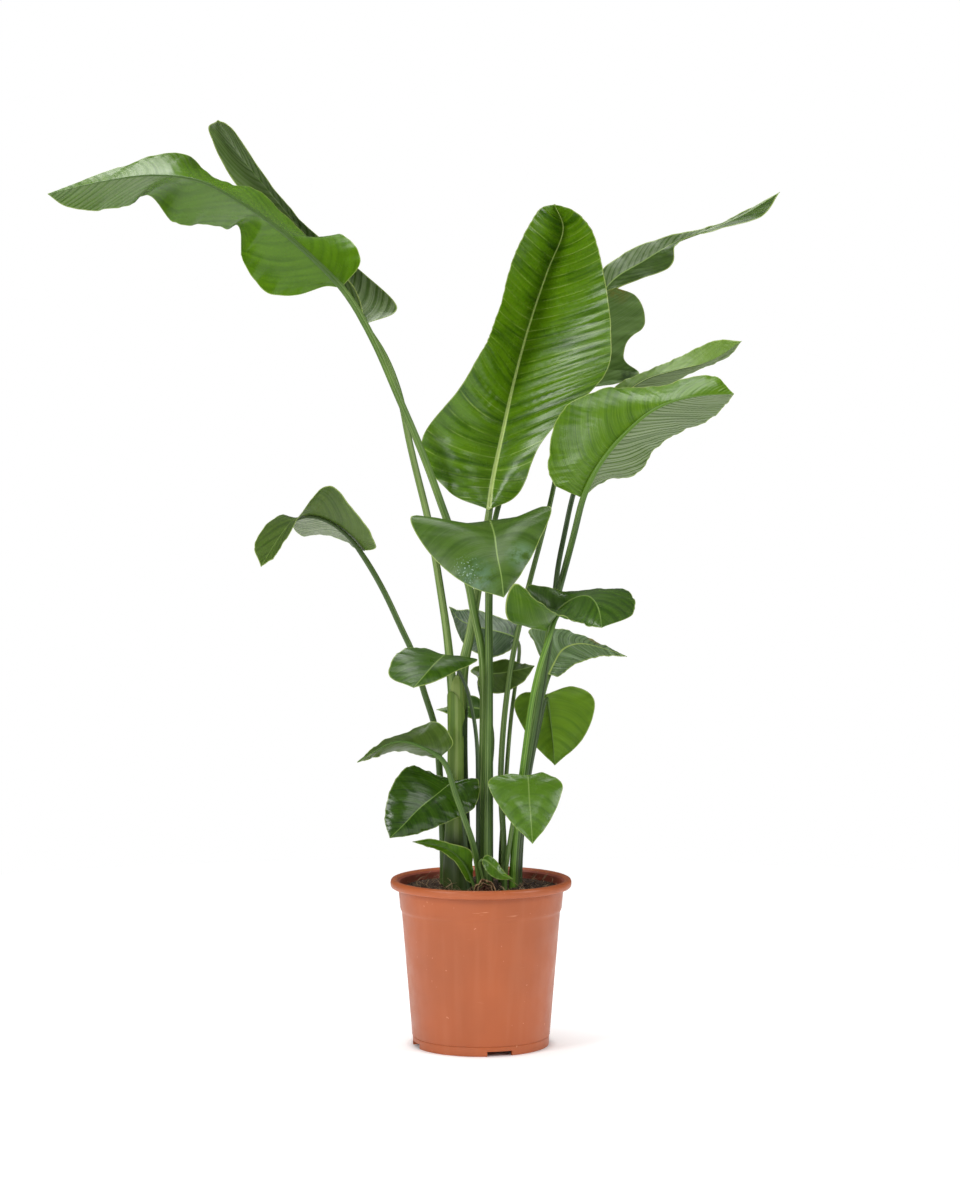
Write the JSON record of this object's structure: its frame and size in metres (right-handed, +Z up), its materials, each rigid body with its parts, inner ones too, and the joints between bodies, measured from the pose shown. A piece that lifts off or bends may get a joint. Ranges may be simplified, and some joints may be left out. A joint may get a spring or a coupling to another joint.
{
  "type": "potted bird of paradise plant",
  "caption": "Potted bird of paradise: broad arching leaves on long stalks rising from the soil of a round tapered nursery pot.",
  "frame": {"origin": "centre of the pot's base, on the face it rests on", "axes": "+Z up, -Y the front the tall middle leaf faces, +X to the right seen from the front"},
  "size_m": [0.9535, 0.304, 1.2311],
  "materials": {
    "leaf_green": "waxy, semi-gloss mid green leaf with a paler underside",
    "stalk_green": "smooth satin light green leaf stalk",
    "terracotta_plastic": "satin moulded terracotta-coloured plastic",
    "soil_brown": "rough damp dark brown compost with fibres",
    "husk_brown": "dry papery brown"
  },
  "bodies": {
    "root": {"blade_back_center": "leaf_green", "blade_back_low": "leaf_green", "blade_base_center_small": "leaf_green", "blade_base_left_small": "leaf_green", "blade_center_back_small": "leaf_green", "blade_center_drooping": "leaf_green", "blade_center_large": "leaf_green", "blade_left_arching": "leaf_green", "blade_left_low_arching": "leaf_green", "blade_left_low_glossy": "leaf_green", "blade_left_middle_drooping": "leaf_green", "blade_right_back_browned": "leaf_green", "blade_right_back_curled": "leaf_green", "blade_right_heart": "leaf_green", "blade_right_large": "leaf_green", "blade_right_low_heart": "leaf_green", "blade_right_middle_folded": "leaf_green", "blade_right_narrow": "leaf_green", "blade_upper_left_inner": "leaf_green", "blade_upper_left_outer": "leaf_green", "blade_upper_right_twisted": "leaf_green", "husk": "husk_brown", "left_trunk": "stalk_green", "pot": "terracotta_plastic", "soil": "soil_brown", "stalk_back_center": "stalk_green", "stalk_back_low": "stalk_green", "stalk_base_center_small": "stalk_green", "stalk_base_left_small": "stalk_green", "stalk_center_back_small": "stalk_green", "stalk_center_drooping": "stalk_green", "stalk_center_large": "stalk_green", "stalk_left_arching": "stalk_green", "stalk_left_low_arching": "stalk_green", "stalk_left_low_glossy": "stalk_green", "stalk_left_middle_drooping": "stalk_green", "stalk_right_back_browned": "stalk_green", "stalk_right_back_curled": "stalk_green", "stalk_right_heart": "stalk_green", "stalk_right_large": "stalk_green", "stalk_right_low_heart": "stalk_green", "stalk_right_middle_folded": "stalk_green", "stalk_right_narrow": "stalk_green", "stalk_upper_left_inner": "stalk_green", "stalk_upper_left_outer": "stalk_green", "stalk_upper_right_twisted": "stalk_green"}
  },
  "joints": []
}
